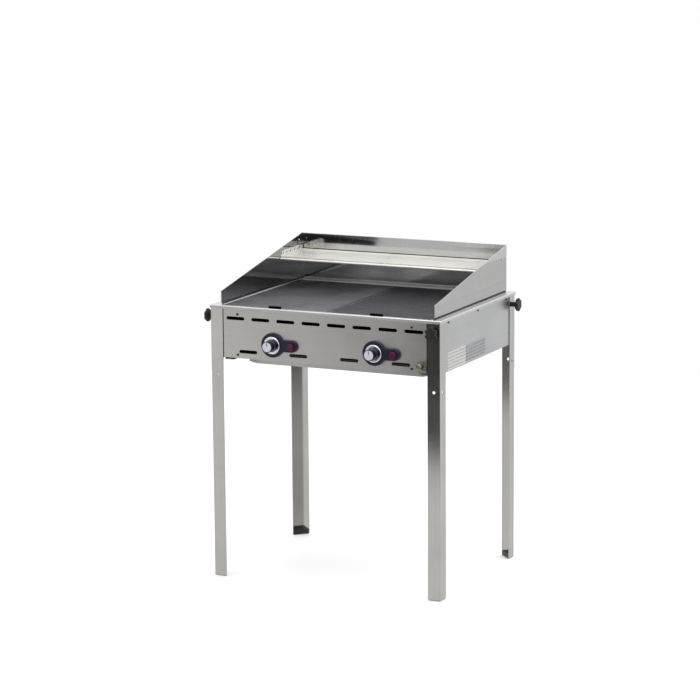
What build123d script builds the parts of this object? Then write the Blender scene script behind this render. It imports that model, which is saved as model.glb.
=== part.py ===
from build123d import *
import math
import os

# Free-standing two-burner gas grill: a sheet-steel fire box on four clamped angle legs,
# two cast cooking plates, a three-sided wind guard with a warming shelf, and a drip tray.
# Millimetres. +X is to the right of a cook at the front, -Y is the front, +Z is up.
# Everything is drawn about the middle of the legs, then moved along Y as it is written,
# so that the origin is on the floor under the middle of the whole object.

# ---------------------------------------------------------------- driving sizes
LEG_SPAN_X = 740.0        # outside faces of the legs, left to right
LEG_SPAN_Y = 563.0        # outside faces of the legs, front to back
RIM_HEIGHT = 825.0        # floor to the top of the hob rim

SHEET = 1.5               # fire box and rim steel
TOUCH = 0.0               # faces that are clamped or welded together
FIT = 0.05                # radial clearance of a turning or sliding shaft
LOOSE = 0.5               # clearance of a drilled hole round a shank
GAP = 1.0                 # gap between pieces that lift apart

# legs and feet
LEG_FLANGE = 40.0
LEG_STEEL = 2.0
LEG_RADIUS = 2.5          # outside bend of the angle
LEG_HOLE_R = 4.5
LEG_HOLE_DROP = 209.0     # accessory holes below the rim top
FOOT_HEIGHT = 16.0
FOOT_STAND = 2.0          # how far the foot holds the steel off the floor

# star knobs that clamp the legs
STAR_DROP = 36.0          # stud axis below the rim top
STAR_R = 20.0
STAR_LOBES = 6
STAR_LOBE_R = 5.6
STAR_HEIGHT = 25.0
STAR_COLLAR_R = 7.5
STAR_COLLAR_LEN = 10.0
STAR_CONE_LEN = 5.0
STUD_R = 4.0
STUD_GRIP = 19.0          # length of the stud inside the knob
STUD_SPARE = 3.0          # stud beyond the weld nut
NUT_SIDE = 14.0
NUT_THICK = 6.5

# hob rim and plates
RIM_OVERHANG = 2.75
RIM_SKIRT = 9.0
RIM_BEND = 2.7            # outside radius of the bend between top strip and skirt
RIM_FRONT_WIDTH = 15.25   # top strip in front of the plates
RIM_REAR_WIDTH = 35.25
RIM_SIDE_WIDTH = 33.75
PLATE_THICK = 11.5
PLATE_SINK = 2.5          # plate top below the rim top
LEDGE = 10.0              # ledge that carries the plates
RIM_TAB = (20.0, 18.0)    # tabs behind the side screws: length, drop
BAR_WIDTH = 20.0
BAR_DEPTH = 8.0
LUG = (40.0, 4.0, 8.0)    # low lug at the plate's front edge: length, thickness, height
RIB_PITCH = 8.0
RIB_GROOVE = 4.0
RIB_DEPTH = 3.5
PLATE_BORDER = 9.0
GROOVE_SETBACK = 16.0     # front ends of the grooves from the plate's front edge
PLATE_EDGE = 1.5

# fire box
BOX_DEPTH = 155.0         # rim top to the bottom of the control panel
PANEL_GAP = 0.8           # between the control panel and each leg flange
SIDE_DROP = 2.0           # side panels reach this far below the control panel
RETURN_STEP = 1.0         # side panels' returns end this far inside the leg flange's edge
SIDE_SCREW_DROP = 13.0
SIDE_SCREW_PITCH = 217.0
PANEL_SCREW_INSET = 48.2  # screws from the control panel's ends
PANEL_SCREW_TOP = 24.0    # below the rim top
PANEL_SCREW_BOTTOM = 10.0  # above the panel's bottom
SCREW_HEAD_R = 3.6
SCREW_HEAD_H = 2.2
SCREW_R = 2.0
SCREW_LEN = 8.0
RAIL_DEPTH = 14.0
RAIL_HEIGHT = 12.5

# vent slots
SLOT_LENGTH = 59.0
SLOT_HEIGHT = 10.0
SLOT_PITCH = 82.2
SLOT_TOP_DROP = 36.5      # below the rim top
SLOT_BOTTOM_RISE = 20.5   # above the panel's bottom

# burners and controls
BURNER_X = 164.0          # burner, plate lug and control knob, each side of the middle
KNOB_DROP = 107.5         # knob axis below the rim top
TUBE_R = 15.0
TUBE_WALL = 1.5
MIXER_R = 13.0
BURNER_HALF = 52.0        # burner legs each side of the burner's middle
BURNER_FRONT = -125.0
BURNER_REAR = 205.0
MIXER_MOUTH = -210.0
PORT_COUNT = 19
PORT_PITCH = 15.0
BURNER_RAIL_Y = (-60.0, 170.0)
BURNER_RAIL = (20.0, 3.0)
BAFFLE_Y = -196.0
VALVE_SIZE = (28.0, 43.5, 35.0)
STEM_R = 4.0
PLUNGER_R = 3.0
PLUNGER_LEN = 18.5
STEM_TAIL = 17.5          # stem behind the panel's back
PUSH_TRAVEL = 3.0
MANIFOLD_R = 8.0
MANIFOLD_Y = -255.0
MANIFOLD_LEFT = -190.0
INLET_INSET = 18.2        # inlet from the control panel's right end
INJECTOR_LEN = 22.0
INJECTOR_R = 6.0
INJECTOR_TIP = (3.5, 8.0)
ELECTRODE_R = 3.5
ELECTRODE_OFFSET = -28.0
ELECTRODE_RISE = 17.5
PROBE_R = 1.5
PROBE_OFFSET = 9.0
PROBE_RISE = 15.8

# control knobs, bezels and igniters
BEZEL_R = 36.5
BEZEL_THICK = 9.0
BEZEL_BORE = 27.5
BEZEL_ROUND = 4.0
EXTENSION_R = 18.0
BUTTON_OFFSET = 63.0
KNOB_REACH = 41.0         # panel face to the knob's front
KNOB_LIFT = 6.0           # panel face to the back of the knob's ring
RING_R = 26.5
RING_THICK = 7.0
KNOB_FLANGE = (19.0, 5.0)  # radius and thickness of the knob's foot inside the ring
BARREL_R = 18.0
BARREL_TIP_R = 16.5
BARREL_ROUND = 2.0
STEM_SOCKET = 25.0
BUTTON_R = 10.5
BUTTON_SHANK_R = 5.0
BUTTON_REACH = 19.0
BUTTON_LIFT = 6.0
BUTTON_TRAVEL = 5.0
BUTTON_SHANK_LEN = 25.0
IGNITER_R = 8.0
IGNITER_LEN = 44.5
BUTTON_CLEAR = 0.4

# gas inlet
INLET_PIPE_R = 7.0
INLET_NUT_R = 13.0
INLET_NUT_THICK = 8.0
ELBOW_R = 8.5
ELBOW_REACH = 23.5        # panel face to the elbow's front
TAIL_R = 5.0
TAIL_LEN = 7.0
TAIL_COLLAR_R = 6.0
TAIL_COLLAR_LEN = 8.0

# drip tray and runners
TRAY_SIDE_GAP = 8.0       # between the tray's wall and its runner
TRAY_FRONT = -183.0
TRAY_REAR = 250.0
TRAY_WALL = 1.2
TRAY_BEVEL = (22.0, 5.0)
TRAY_DEPTH = 26.5
TRAY_LIP = 28.0
RUNNER_INSET = 37.5       # runner from the side panel's inside
RUNNER_WIDTH = 28.0
RUNNER_HEIGHT = 8.0
RUNNER_FRONT = -270.0
RUNNER_REAR = 262.0

# wind guard and warming shelf
GUARD_STEEL = 1.2
GUARD_STAND = 4.6         # outside of the side panels beyond the plate opening
GUARD_FRONT = -263.0
GUARD_REAR = 279.3        # outside face of the back panel
GUARD_LOW = 38.8          # height at the front
GUARD_HIGH = 141.6        # height at the back
GUARD_LIFT = 3.5          # height of the recessed foot under the side panels
GUARD_FOOT_INSET = 3.0
HEM = 7.0
HEM_STEEL = 0.8
LIP_DEPTH = 9.0
LIP_DROP = 13.0
BACK_RETURN = 36.0
RIVET_R = 1.6
RIVET_HEAD_R = 3.2
RIVET_HEAD_H = 1.4
RIVET_RISES = (11.3, 44.1, 122.5)
RIVET_Y = 252.0
SHELF_RISE = 87.5
SHELF_FRONT = 122.0
SHELF_REAR = 276.0
SHELF_FLANGE = 18.5
SHELF_FLANGE_CUT = 14.0   # sloping cut at the front of each end
SHELF_BACK = 6.5          # upstand along the back
SHELF_STEP = 3.5          # shelf surface down to the top of the rolled edge
SHELF_ROLL_R = 3.4
SHELF_HOLES = 5
SHELF_HOLE_PITCH = 25.0
SHELF_HOLE_R = 3.0
SHELF_SCREW = (244.0, 13.8)
SHELF_SCREW_R = 2.4
SHELF_SCREW_HEAD = (4.5, 2.6)
SHELF_NUT = (4.6, 4.0)
SHELF_STOP = (6.0, 25.0, 1.2)   # lanced tab over the shelf's end: reach, length, thickness

# ---------------------------------------------------------------- derived places
LEG_X = LEG_SPAN_X / 2
LEG_Y = LEG_SPAN_Y / 2
RIM_UNDER = RIM_HEIGHT - SHEET
RIM_X = LEG_X + RIM_OVERHANG
RIM_Y = LEG_Y + RIM_OVERHANG
OPEN_X = RIM_X - RIM_SIDE_WIDTH
OPEN_FRONT = -RIM_Y + RIM_FRONT_WIDTH
OPEN_REAR = RIM_Y - RIM_REAR_WIDTH
PLATE_TOP = RIM_HEIGHT - PLATE_SINK
SEAT_Z = PLATE_TOP - PLATE_THICK
CASE_X = LEG_X - LEG_STEEL            # outside of the side panels
CASE_Y = LEG_Y - LEG_STEEL            # outside of the front and rear returns
CASE_IN_X = CASE_X - SHEET
RETURN_END = LEG_X - LEG_FLANGE + RETURN_STEP
RUNNER_X = (CASE_IN_X - RUNNER_INSET - RUNNER_WIDTH, CASE_IN_X - RUNNER_INSET)
TRAY_HALF_X = RUNNER_X[0] - TRAY_SIDE_GAP
GUARD_X = OPEN_X + GUARD_STAND
PANEL_BOTTOM = RIM_HEIGHT - BOX_DEPTH
PANEL_FACE = -CASE_Y - SHEET          # front of the control panel
PANEL_BACK = -CASE_Y
PANEL_X = LEG_X - LEG_FLANGE - PANEL_GAP
PANEL_SCREW_X = PANEL_X - PANEL_SCREW_INSET
INLET_X = PANEL_X - INLET_INSET
SIDE_BOTTOM = PANEL_BOTTOM - SIDE_DROP
KNOB_Z = RIM_HEIGHT - KNOB_DROP
STAR_Z = RIM_HEIGHT - STAR_DROP
VALVE_BACK = PANEL_BACK + VALVE_SIZE[1]
STEM_END = PANEL_BACK + STEM_TAIL
MANIFOLD_Z = KNOB_Z - VALVE_SIZE[2] / 2 - MANIFOLD_R
RUNNER_TOP = PANEL_BOTTOM
TRAY_LIP_Z = RUNNER_TOP - RUNNER_HEIGHT + SHEET
SHELF_Z = RIM_HEIGHT + SHELF_RISE
GUARD_IN_X = GUARD_X - GUARD_STEEL
SHELF_X = GUARD_IN_X - GUARD_STEEL
SHELF_STOP_Z = SHELF_Z + SHELF_FLANGE
FRONT_REACH = KNOB_REACH - PANEL_FACE
REAR_REACH = LEG_Y + STAR_HEIGHT
FRAME_SHIFT = (FRONT_REACH - REAR_REACH) / 2
SIDES = {"left": -1, "right": 1}
CORNERS = ("front_left", "front_right", "rear_right", "rear_left")


# ---------------------------------------------------------------- helpers
def box(x, y, z):
    """A box between two values on each axis."""
    size = [abs(b - a) for a, b in (x, y, z)]
    middle = tuple((a + b) / 2 for a, b in (x, y, z))
    return Pos(*middle) * Box(*size)


def rod(axis, at, low, high, radius, tip=None):
    """A cylinder, or a cone to radius tip, along X, Y or Z between two values.

    at gives the other two coordinates, in X, Y, Z order.
    """
    length = high - low
    if tip is None:
        shape = Cylinder(radius, length)
    else:
        shape = Cone(radius, tip, length)
    middle = (low + high) / 2
    if axis == "x":
        return Pos(middle, at[0], at[1]) * Rot(0, 90, 0) * shape
    if axis == "y":
        return Pos(at[0], middle, at[1]) * Rot(-90, 0, 0) * shape
    return Pos(at[0], at[1], middle) * shape


def prism(plane, points, amount):
    """A closed outline in a plane, extruded along the plane's normal."""
    outline = plane * make_face(Polyline(*points, close=True))
    return extrude(outline, amount)


def slot(x, z, length, height, low, high):
    """An obround cutter along X at x, z, running from low to high in Y."""
    half = (length - height) / 2
    cutter = box((x - half, x + half), (low, high), (z - height / 2, z + height / 2))
    for end in (x - half, x + half):
        cutter += rod("y", (end, z), low, high, height / 2)
    return cutter


def mirrored(shape):
    """The right-hand twin of a left-hand piece."""
    return mirror(shape, about=Plane.YZ)


parts = {}


def keep(name, *shapes):
    """Keeps one piece, or a group of separate solids, under a node name."""
    solids = [Pos(0, FRAME_SHIFT, 0) * solid for shape in shapes for solid in shape.solids()]
    parts[name] = solids[0] if len(solids) == 1 else Compound(children=solids)


# ---------------------------------------------------------------- legs and clamps
def corner_place(turns):
    """Puts something built at the front left corner at the corner that many quarter turns on."""
    signs = ((-1, -1), (1, -1), (1, 1), (-1, 1))[turns]
    return Pos(signs[0] * LEG_X, signs[1] * LEG_Y, 0) * Rot(0, 0, 90 * turns)


def leg():
    """An angle with its corner at the origin and its star knob on the face towards -X."""
    low, high = FOOT_STAND, RIM_UNDER
    steel = box((0, LEG_FLANGE), (0, LEG_FLANGE), (low, high))
    steel -= box((LEG_STEEL, LEG_FLANGE), (LEG_STEEL, LEG_FLANGE), (low, high))
    bend = steel.edges().filter_by(Axis.Z).sort_by(lambda e: e.center().X + e.center().Y)[0]
    steel = fillet(bend, LEG_RADIUS)
    middle = LEG_FLANGE / 2
    hole_z = RIM_HEIGHT - LEG_HOLE_DROP
    steel -= rod("x", (middle, STAR_Z), -1, LEG_STEEL + 1, STUD_R + LOOSE)
    steel -= rod("x", (middle, hole_z), -1, LEG_STEEL + 1, LEG_HOLE_R)
    steel -= rod("y", (middle, hole_z), -1, LEG_STEEL + 1, LEG_HOLE_R)
    return steel


def foot():
    """The three-cornered foot inside the bottom of a leg."""
    near, far = LEG_STEEL, LEG_FLANGE - LEG_STEEL
    return prism(Plane.XY, [(near, near), (far, near), (near, far)], FOOT_HEIGHT)


def star_profile():
    """Half section of the knob, from its collar to its domed front, along +Z."""
    neck = STAR_COLLAR_LEN + STAR_CONE_LEN
    shoulder = STAR_HEIGHT - 3
    points = [(0, 0), (STAR_COLLAR_R, 0), (STAR_COLLAR_R, STAR_COLLAR_LEN)]
    points += [(STAR_R - 2, neck), (STAR_R, neck + 3), (STAR_R, shoulder)]
    points += [(STAR_R - 3, STAR_HEIGHT - 1), (0, STAR_HEIGHT)]
    face = Plane.XZ * make_face(Polyline(*points, close=True))
    return revolve(face, Axis.Z)


def star_knob():
    """The lobed head, its axis on X, its collar's end on the leg and its front towards -X."""
    core = Pos(0, 0, STAR_HEIGHT / 2) * Cylinder(STAR_R - STAR_LOBE_R, STAR_HEIGHT)
    for step in range(STAR_LOBES):
        angle = 2 * math.pi * step / STAR_LOBES
        reach = STAR_R - STAR_LOBE_R
        place = Pos(reach * math.cos(angle), reach * math.sin(angle), STAR_HEIGHT / 2)
        core += place * Cylinder(STAR_LOBE_R, STAR_HEIGHT)
    head = star_profile() & core
    head -= Pos(0, 0, STUD_GRIP / 2) * Cylinder(STUD_R + FIT, STUD_GRIP + 2 * FIT)
    return Pos(0, LEG_FLANGE / 2, STAR_Z) * Rot(0, -90, 0) * head


def star_stud():
    """The stud through the leg, the side panel and the weld nut."""
    inner = LEG_STEEL + SHEET + NUT_THICK + STUD_SPARE
    return rod("x", (LEG_FLANGE / 2, STAR_Z), -STUD_GRIP + LOOSE, inner, STUD_R)


def weld_nut():
    """The square nut inside the fire box that the stud screws into."""
    near = LEG_STEEL + SHEET
    half = NUT_SIDE / 2
    middle = LEG_FLANGE / 2
    span_y = (middle - half, middle + half)
    nut = box((near, near + NUT_THICK), span_y, (STAR_Z - half, STAR_Z + half))
    return nut - rod("x", (middle, STAR_Z), near - 1, near + NUT_THICK + 1, STUD_R + FIT)


for turns, corner in enumerate(CORNERS):
    place = corner_place(turns)
    keep("leg_" + corner, place * leg())
    keep("star_knob_" + corner, place * star_knob())
    keep("star_stud_" + corner, place * star_stud())
keep("leg_feet", *[corner_place(turns) * foot() for turns in range(4)])
keep("leg_weld_nuts", *[corner_place(turns) * weld_nut() for turns in range(4)])


# ---------------------------------------------------------------- fire box
def side_screw_places():
    """Y places of the side screws."""
    return (-SIDE_SCREW_PITCH, 0.0, SIDE_SCREW_PITCH)


def side_panel_left():
    """The left side sheet with its front, rear and bottom returns."""
    z = (SIDE_BOTTOM, RIM_UNDER)
    panel = box((-CASE_X, -CASE_IN_X), (-CASE_Y, CASE_Y), z)
    for sign in (-1, 1):
        ends = sorted((sign * CASE_Y, sign * (CASE_Y - SHEET)))
        panel += box((-CASE_X, -RETURN_END), ends, z)
    flange_y = (-CASE_Y + SHEET, CASE_Y - SHEET)
    panel += box((-CASE_X, -RUNNER_X[1]), flange_y, (SIDE_BOTTOM, SIDE_BOTTOM + SHEET))
    for y in side_screw_places():
        at = (y, RIM_HEIGHT - SIDE_SCREW_DROP)
        panel -= rod("x", at, -CASE_X - 1, -CASE_IN_X + 1, SCREW_R + LOOSE / 2)
    return panel


def star_holes():
    """Clearance holes for the four clamp studs in the fire box."""
    cutters = []
    for turns in range(4):
        hole = rod("x", (LEG_FLANGE / 2, STAR_Z), 0, 2 * LEG_STEEL + SHEET, STUD_R + LOOSE)
        cutters.append(corner_place(turns) * hole)
    return cutters


side_left = side_panel_left()
side_right = mirrored(side_left)
for cutter in star_holes():
    side_left -= cutter
    side_right -= cutter
keep("left_side_panel", side_left)
keep("right_side_panel", side_right)


def top_slots(low, high):
    """The row of vent slots under the rim."""
    z = RIM_HEIGHT - SLOT_TOP_DROP
    places = [(step + 0.5) * SLOT_PITCH for step in range(-4, 4)]
    return [slot(x, z, SLOT_LENGTH, SLOT_HEIGHT, low, high) for x in places]


def bottom_slots(low, high):
    """The row of vent slots over the panel's bottom."""
    z = PANEL_BOTTOM + SLOT_BOTTOM_RISE
    places = [sign * SLOT_PITCH * reach for sign in (-1, 1) for reach in (1, 3)]
    return [slot(x, z, SLOT_LENGTH, SLOT_HEIGHT, low, high) for x in places]


def panel_screw_places():
    """X and Z of the four control panel screws."""
    heights = (RIM_HEIGHT - PANEL_SCREW_TOP, PANEL_BOTTOM + PANEL_SCREW_BOTTOM)
    return [(sign * PANEL_SCREW_X, z) for sign in (-1, 1) for z in heights]


def control_panel():
    """The front sheet with its vent slots and the holes for the controls."""
    front = box((-PANEL_X, PANEL_X), (PANEL_FACE, PANEL_BACK), (PANEL_BOTTOM, RIM_UNDER))
    flange = (PANEL_FACE, PANEL_BACK + RAIL_DEPTH)
    front += box((-RUNNER_X[0] + GAP, RUNNER_X[0] - GAP), flange, (PANEL_BOTTOM, PANEL_BOTTOM + SHEET))
    low, high = PANEL_FACE - 1, PANEL_BACK + 1
    for cutter in top_slots(low, high) + bottom_slots(low, high):
        front -= cutter
    for sign in SIDES.values():
        x = sign * BURNER_X
        front -= rod("y", (x, KNOB_Z), low, high, STEM_R + GAP)
        front -= rod("y", (x + BUTTON_OFFSET, KNOB_Z), low, high, BUTTON_SHANK_R + LOOSE)
    front -= rod("y", (INLET_X, MANIFOLD_Z), low, high, INLET_PIPE_R + LOOSE)
    for x, z in panel_screw_places():
        front -= rod("y", (x, z), low, high, SCREW_R + LOOSE / 2)
    return front


def front_rail(low, high, flange_low):
    """A cross rail behind the control panel: a flange against it and a flange behind."""
    near = (PANEL_BACK, PANEL_BACK + SHEET)
    rail = box((-RETURN_END, RETURN_END), near, (low, high))
    depth = (PANEL_BACK, PANEL_BACK + RAIL_DEPTH)
    rail += box((-RETURN_END, RETURN_END), depth, (flange_low, flange_low + SHEET))
    for x, z in panel_screw_places():
        rail -= rod("y", (x, z), near[0] - 1, near[1] + 1, SCREW_R + LOOSE / 2)
    return rail


def screw(axis, at, face, inwards, head_r, head_h, radius, length):
    """A pan head on a face with its shank going inwards (+1 or -1 along the axis)."""
    outer = face - inwards * head_h
    inner = face + inwards * length
    head = rod(axis, at, min(face, outer), max(face, outer), head_r)
    head = chamfer(head.edges().filter_by(GeomType.CIRCLE).sort_by(
        lambda e: abs(getattr(e.center(), axis.upper()) - outer))[0], head_h * 0.35)
    return head + rod(axis, at, min(face, inner), max(face, inner), radius)


keep("control_panel", control_panel())
top_rail_z = RIM_HEIGHT - PANEL_SCREW_TOP - RAIL_HEIGHT / 2
bottom_rail_z = PANEL_BOTTOM + SHEET
keep("front_rails",
     front_rail(top_rail_z, top_rail_z + RAIL_HEIGHT, top_rail_z),
     front_rail(bottom_rail_z, bottom_rail_z + RAIL_HEIGHT, bottom_rail_z))
pan_head = (SCREW_HEAD_R, SCREW_HEAD_H, SCREW_R, SCREW_LEN)
keep("panel_screws", *[screw("y", at, PANEL_FACE, 1, *pan_head) for at in panel_screw_places()])
side_at = [(y, RIM_HEIGHT - SIDE_SCREW_DROP) for y in side_screw_places()]
keep("side_screws", *[screw("x", at, sign * CASE_X, -sign, *pan_head)
                      for sign in SIDES.values() for at in side_at])

rear = box((-RETURN_END, RETURN_END), (CASE_Y - SHEET, CASE_Y), (SIDE_BOTTOM, RIM_UNDER))
for cutter in top_slots(CASE_Y - SHEET - 1, CASE_Y + 1):
    rear -= cutter
keep("rear_panel", rear)


# ---------------------------------------------------------------- hob rim
def rim_blank():
    """The whole rim: top strips, outer skirt, inner wall and plate ledge, before it is cut."""
    low = RIM_HEIGHT - RIM_SKIRT
    cover = box((-RIM_X, RIM_X), (-RIM_Y, RIM_Y), (low, RIM_HEIGHT))
    cover = fillet(cover.edges().filter_by(Axis.Z), RIM_OVERHANG)
    cover = fillet(cover.faces().sort_by(Axis.Z)[-1].edges(), RIM_BEND)
    inset_x, inset_y = RIM_X - SHEET, RIM_Y - SHEET
    inside = box((-inset_x, inset_x), (-inset_y, inset_y), (low - 1, RIM_UNDER))
    inside = fillet(inside.faces().sort_by(Axis.Z)[-1].edges(), RIM_BEND - SHEET)
    wall_x = (-OPEN_X - SHEET, OPEN_X + SHEET)
    wall_y = (OPEN_FRONT - SHEET, OPEN_REAR + SHEET)
    wall = box(wall_x, wall_y, (SEAT_Z - SHEET, RIM_HEIGHT))
    hole = box((-OPEN_X, OPEN_X), (OPEN_FRONT, OPEN_REAR), (SEAT_Z, RIM_HEIGHT + 1))
    ledge_x = (-OPEN_X + LEDGE, OPEN_X - LEDGE)
    ledge_y = (OPEN_FRONT + LEDGE, OPEN_REAR - LEDGE)
    through = box(ledge_x, ledge_y, (SEAT_Z - SHEET - 1, RIM_HEIGHT + 1))
    return cover - inside + wall - hole - through


def rim_sector(side):
    """The part of the rim that one strip takes, cut along the mitres."""
    far = 2 * RIM_X
    corners = {
        "left": (-1, -1, -1, 1),
        "right": (1, -1, 1, 1),
        "front": (-1, -1, 1, -1),
        "rear": (-1, 1, 1, 1),
    }[side]
    points = []
    for sx, sy in (corners[:2], corners[2:]):
        open_y = OPEN_FRONT if sy < 0 else OPEN_REAR
        points.append(((sx * RIM_X, sy * RIM_Y), (sx * OPEN_X, open_y)))
    ends = []
    for (ox, oy), (ix, iy) in points:
        ends.append((ox + (ox - ix), oy + (oy - iy)))
        ends.append((ix - (ox - ix) * 0.75, iy - (oy - iy) * 0.75))
    outline = [ends[0], ends[1], ends[3], ends[2]]
    return prism(Plane.XY.offset(RIM_HEIGHT - far), outline, 2 * far)


rim = rim_blank()
for side in ("front", "rear", "left", "right"):
    strip = rim & rim_sector(side)
    if side in SIDES:
        sign = SIDES[side]
        inner = sorted((sign * CASE_IN_X, sign * (CASE_IN_X - SHEET)))
        for y, z in side_at:
            tab_y = (y - RIM_TAB[0] / 2, y + RIM_TAB[0] / 2)
            strip += box(inner, tab_y, (RIM_UNDER - RIM_TAB[1], RIM_UNDER))
            strip -= rod("x", (y, z), inner[0] - 1, inner[1] + 1, SCREW_R + LOOSE / 2)
    keep("rim_" + side, strip)

bar_y = (OPEN_FRONT + LEDGE, OPEN_REAR - LEDGE)
keep("centre_bar", box((-BAR_WIDTH / 2, BAR_WIDTH / 2), bar_y, (SEAT_Z - BAR_DEPTH, SEAT_Z)))


# ---------------------------------------------------------------- cooking plates
def plate(sign):
    """A cast plate with a low lug at the middle of its front edge."""
    span_x = sorted((sign * GAP, sign * (OPEN_X - GAP)))
    span_y = (OPEN_FRONT + GAP, OPEN_REAR - GAP)
    slab = box(span_x, span_y, (SEAT_Z, PLATE_TOP))
    slab = chamfer(slab.faces().sort_by(Axis.Z)[-1].edges(), PLATE_EDGE)
    length, thick, height = LUG
    x = sign * BURNER_X
    lug = box((x - length / 2, x + length / 2), (span_y[0], span_y[0] + thick), (SEAT_Z, PLATE_TOP + height))
    lug = fillet(lug.edges().filter_by(Axis.Y).sort_by(Axis.Z)[-2:], thick / 2)
    return slab + lug, span_x, span_y


smooth, _, _ = plate(-1)
keep("smooth_plate", smooth)
ribbed, rib_x, rib_y = plate(1)
groove_y = (rib_y[0] + GROOVE_SETBACK, rib_y[1] - PLATE_BORDER)
groove_z = (PLATE_TOP - RIB_DEPTH, PLATE_TOP + 1)
groove_count = int((rib_x[1] - rib_x[0] - 2 * PLATE_BORDER + RIB_GROOVE) // RIB_PITCH)
first = (rib_x[0] + rib_x[1] - (groove_count - 1) * RIB_PITCH) / 2
for step in range(groove_count):
    x = first + step * RIB_PITCH
    ribbed -= box((x - RIB_GROOVE / 2, x + RIB_GROOVE / 2), groove_y, groove_z)
gutter_x = (first - RIB_GROOVE / 2, x + RIB_GROOVE / 2)
ribbed -= box(gutter_x, (groove_y[0] - RIB_GROOVE, groove_y[0]), groove_z)
keep("ribbed_plate", ribbed)


# ---------------------------------------------------------------- burners
def burner_shape(x, shrink, mouth):
    """The burner's tubes, shrunk by a wall thickness for the inside."""
    tube = TUBE_R - shrink
    shape = rod("y", (x, KNOB_Z), mouth, BURNER_FRONT, MIXER_R - shrink)
    for sign in (-1, 1):
        leg_x = x + sign * BURNER_HALF
        shape += rod("y", (leg_x, KNOB_Z), BURNER_FRONT, BURNER_REAR - shrink, tube)
        shape += Pos(leg_x, BURNER_FRONT, KNOB_Z) * Sphere(tube)
    shape += rod("x", (BURNER_FRONT, KNOB_Z), x - BURNER_HALF, x + BURNER_HALF, tube)
    return shape


def burner(x):
    """A forked tube burner with gas ports along the top of both legs."""
    tubes = burner_shape(x, 0, MIXER_MOUTH) - burner_shape(x, TUBE_WALL, MIXER_MOUTH - 1)
    middle = (BURNER_FRONT + BURNER_REAR) / 2
    for sign in (-1, 1):
        leg_x = x + sign * BURNER_HALF
        for step in range(PORT_COUNT):
            y = middle + (step - (PORT_COUNT - 1) / 2) * PORT_PITCH
            tubes -= box((leg_x - 4, leg_x + 4), (y - 1, y + 1), (KNOB_Z + TUBE_R - 3, KNOB_Z + TUBE_R + 1))
    return tubes


keep("burner_left", burner(-BURNER_X))
keep("burner_right", burner(BURNER_X))
rail_z = (KNOB_Z - TUBE_R - BURNER_RAIL[1], KNOB_Z - TUBE_R)
keep("burner_rails", *[box((-CASE_IN_X, CASE_IN_X), (y - BURNER_RAIL[0] / 2, y + BURNER_RAIL[0] / 2), rail_z)
                       for y in BURNER_RAIL_Y])

baffle = box((-CASE_IN_X, CASE_IN_X), (BAFFLE_Y, BAFFLE_Y + SHEET), (RUNNER_TOP, SEAT_Z - BAR_DEPTH))
for sign in SIDES.values():
    x = sign * BURNER_X
    cuts = [
        ((x, KNOB_Z), MIXER_R + LOOSE),
        ((x + ELECTRODE_OFFSET, KNOB_Z + ELECTRODE_RISE), ELECTRODE_R + LOOSE / 2),
        ((x + PROBE_OFFSET, KNOB_Z + PROBE_RISE), PROBE_R + LOOSE / 2),
    ]
    for at, radius in cuts:
        baffle -= rod("y", at, BAFFLE_Y - 1, BAFFLE_Y + SHEET + 1, radius)
keep("control_baffle", baffle)


def electrode(x):
    """A ceramic spark rod through the baffle with its wire tip over the burner."""
    at = (x + ELECTRODE_OFFSET, KNOB_Z + ELECTRODE_RISE)
    ceramic = rod("y", at, BAFFLE_Y - 24, BURNER_FRONT - TUBE_R - 4, ELECTRODE_R)
    return ceramic + rod("y", at, BURNER_FRONT - TUBE_R - 4, BURNER_FRONT, 1.2)


def probe(x):
    """A flame probe from the back of the valve to the burner's front tube."""
    return rod("y", (x + PROBE_OFFSET, KNOB_Z + PROBE_RISE), VALVE_BACK, BURNER_FRONT - TUBE_R / 2, PROBE_R)


keep("spark_electrodes", *[electrode(sign * BURNER_X) for sign in SIDES.values()])
keep("thermocouples", *[probe(sign * BURNER_X) for sign in SIDES.values()])


# ---------------------------------------------------------------- gas valves and inlet
def valve(x):
    """A valve block behind the panel, bored for its stem and its push rod."""
    half_x, half_z = VALVE_SIZE[0] / 2, VALVE_SIZE[2] / 2
    block = box((x - half_x, x + half_x), (PANEL_BACK, VALVE_BACK), (KNOB_Z - half_z, KNOB_Z + half_z))
    block = chamfer(block.edges().filter_by(Axis.Y), 3)
    block -= rod("y", (x, KNOB_Z), PANEL_BACK - 1, STEM_END + PUSH_TRAVEL + LOOSE, STEM_R + FIT)
    deep = STEM_END + PLUNGER_LEN + PUSH_TRAVEL + LOOSE
    block -= rod("y", (x, KNOB_Z), STEM_END, deep, PLUNGER_R + FIT)
    return block


def injector(x):
    """The brass nozzle between the valve and the burner's mixing tube."""
    body = rod("y", (x, KNOB_Z), VALVE_BACK, VALVE_BACK + INJECTOR_LEN, INJECTOR_R)
    tip_end = VALVE_BACK + INJECTOR_LEN + INJECTOR_TIP[1]
    return body + rod("y", (x, KNOB_Z), VALVE_BACK + INJECTOR_LEN, tip_end, INJECTOR_R, INJECTOR_TIP[0])


for side, sign in SIDES.items():
    x = sign * BURNER_X
    keep("gas_valve_" + side, valve(x))
    keep("valve_plunger_" + side, rod("y", (x, KNOB_Z), STEM_END, STEM_END + PLUNGER_LEN, PLUNGER_R))
    stem_front = PANEL_FACE - KNOB_LIFT - STEM_SOCKET
    keep("valve_stem_" + side, rod("y", (x, KNOB_Z), stem_front, STEM_END, STEM_R))
keep("injectors", *[injector(sign * BURNER_X) for sign in SIDES.values()])

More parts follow.
